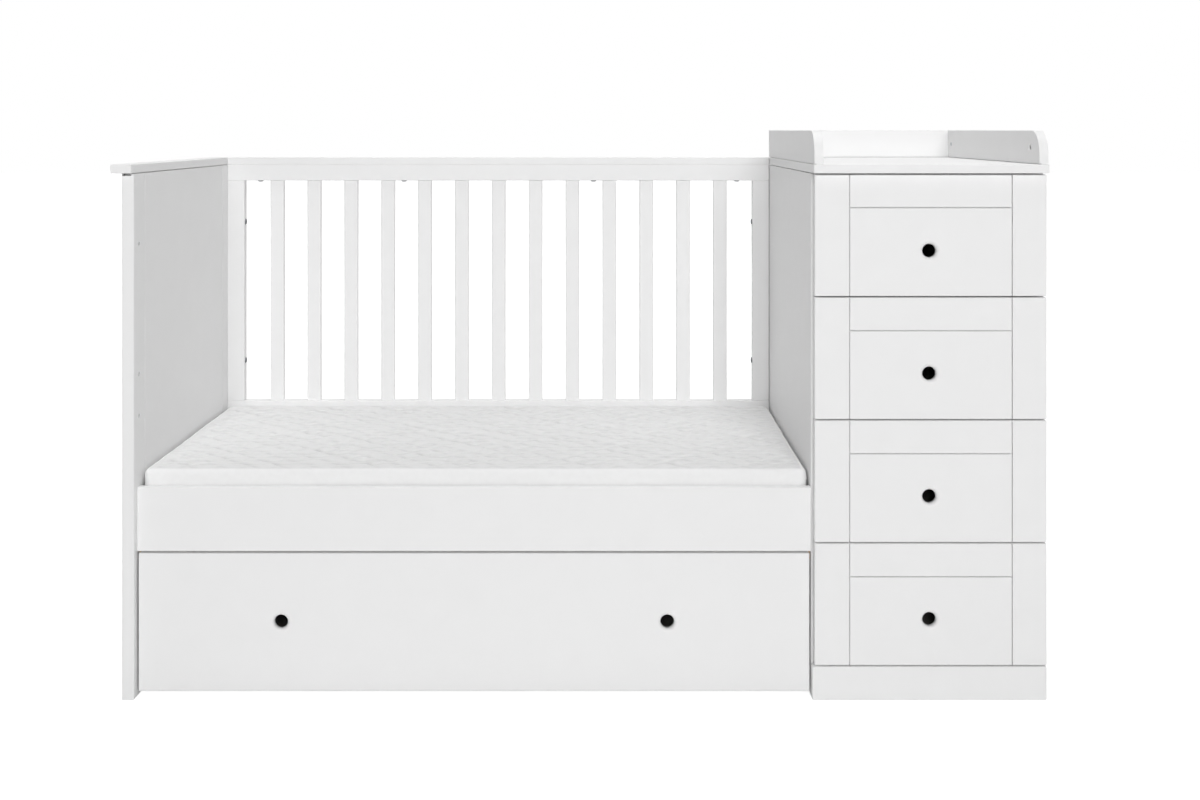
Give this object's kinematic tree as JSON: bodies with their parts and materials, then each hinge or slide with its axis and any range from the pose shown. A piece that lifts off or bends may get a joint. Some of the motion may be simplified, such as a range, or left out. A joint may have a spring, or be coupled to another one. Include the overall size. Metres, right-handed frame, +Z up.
{
  "type": "crib with attached changer",
  "caption": "White convertible crib in its toddler bed form, with a mattress, a wide drawer on castors and a chest of drawers topped by a changing tray.",
  "frame": {"origin": "on the floor, under the middle of the whole object", "axes": "+X from the end panel towards the chest, +Y from the front to the back, +Z up"},
  "size_m": [1.665, 0.675, 1.016],
  "materials": {
    "white_lacquer": "satin lacquer on fibreboard",
    "white_melamine": "matt melamine on chipboard",
    "white_hardboard": "matt",
    "pine": "raw, planed",
    "mattress_cover": "quilted jersey",
    "zinc_steel": "zinc plated",
    "castor_plastic": "moulded"
  },
  "bodies": {
    "bed_and_chest": {"end_panel": "white_lacquer", "end_cap": "white_lacquer", "rear_cap": "white_lacquer", "rear_top_rail": "white_lacquer", "rear_board": "white_lacquer", "rear_left_stile": "white_lacquer", "rear_right_stile": "white_lacquer", "rear_bars": "white_lacquer", "front_board": "white_lacquer", "chest_left_side": "white_lacquer", "chest_right_side": "white_lacquer", "chest_plinth": "white_lacquer", "chest_top": "white_lacquer", "tray_left_rim": "white_lacquer", "tray_right_rim": "white_lacquer", "tray_back_rim": "white_lacquer", "chest_bottom": "white_melamine", "chest_back": "white_hardboard", "base_front_beam": "pine", "base_rear_beam": "pine", "base_slats": "pine", "mattress": "mattress_cover", "chest_left_runners": "zinc_steel", "chest_right_runners": "zinc_steel", "stile_screws": "zinc_steel", "cap_screws": "zinc_steel", "tray_fittings": "zinc_steel"},
    "drawer_1": {"drawer_1_front": "white_lacquer", "drawer_1_sides": "white_melamine", "drawer_1_back": "white_melamine", "drawer_1_bottom": "white_hardboard", "drawer_1_runners": "zinc_steel"},
    "drawer_2": {"drawer_2_front": "white_lacquer", "drawer_2_sides": "white_melamine", "drawer_2_back": "white_melamine", "drawer_2_bottom": "white_hardboard", "drawer_2_runners": "zinc_steel"},
    "drawer_3": {"drawer_3_front": "white_lacquer", "drawer_3_sides": "white_melamine", "drawer_3_back": "white_melamine", "drawer_3_bottom": "white_hardboard", "drawer_3_runners": "zinc_steel"},
    "drawer_4": {"drawer_4_front": "white_lacquer", "drawer_4_sides": "white_melamine", "drawer_4_back": "white_melamine", "drawer_4_bottom": "white_hardboard", "drawer_4_runners": "zinc_steel"},
    "wide_drawer": {"wide_drawer_front": "white_lacquer", "wide_drawer_left_side": "white_melamine", "wide_drawer_right_side": "white_melamine", "wide_drawer_back": "white_melamine", "wide_drawer_bottom": "white_hardboard", "castor_bracket_front_left": "zinc_steel", "castor_bracket_front_right": "zinc_steel", "castor_bracket_rear_left": "zinc_steel", "castor_bracket_rear_right": "zinc_steel"},
    "wheel_front_left": {"castor_wheel_front_left": "castor_plastic"},
    "wheel_front_right": {"castor_wheel_front_right": "castor_plastic"},
    "wheel_rear_left": {"castor_wheel_rear_left": "castor_plastic"},
    "wheel_rear_right": {"castor_wheel_rear_right": "castor_plastic"}
  },
  "joints": [
    {"name": "drawer_1_slide", "type": "slide", "parent": "bed_and_chest", "child": "drawer_1", "axis": [0, -1, 0], "range_m": [0, 0.4]},
    {"name": "drawer_2_slide", "type": "slide", "parent": "bed_and_chest", "child": "drawer_2", "axis": [0, -1, 0], "range_m": [0, 0.4]},
    {"name": "drawer_3_slide", "type": "slide", "parent": "bed_and_chest", "child": "drawer_3", "axis": [0, -1, 0], "range_m": [0, 0.4]},
    {"name": "drawer_4_slide", "type": "slide", "parent": "bed_and_chest", "child": "drawer_4", "axis": [0, -1, 0], "range_m": [0, 0.4]},
    {"name": "wide_drawer_slide", "type": "slide", "parent": "bed_and_chest", "child": "wide_drawer", "axis": [0, -1, 0], "range_m": [0, 0.5]},
    {"name": "wheel_front_left_spin", "type": "hinge", "parent": "wide_drawer", "child": "wheel_front_left", "pos_m": [-0.6905, -0.2085, 0.02], "axis": [1, 0, 0], "continuous": true},
    {"name": "wheel_front_right_spin", "type": "hinge", "parent": "wide_drawer", "child": "wheel_front_right", "pos_m": [0.3095, -0.2085, 0.02], "axis": [1, 0, 0], "continuous": true},
    {"name": "wheel_rear_left_spin", "type": "hinge", "parent": "wide_drawer", "child": "wheel_rear_left", "pos_m": [-0.6905, 0.2275, 0.02], "axis": [1, 0, 0], "continuous": true},
    {"name": "wheel_rear_right_spin", "type": "hinge", "parent": "wide_drawer", "child": "wheel_rear_right", "pos_m": [0.3095, 0.2275, 0.02], "axis": [1, 0, 0], "continuous": true}
  ],
  "couplings": [
    {"joint": "wheel_front_left_spin", "follows": "wide_drawer_slide", "rad_per_m": 50},
    {"joint": "wheel_front_right_spin", "follows": "wide_drawer_slide", "rad_per_m": 50},
    {"joint": "wheel_rear_left_spin", "follows": "wide_drawer_slide", "rad_per_m": 50},
    {"joint": "wheel_rear_right_spin", "follows": "wide_drawer_slide", "rad_per_m": 50}
  ]
}
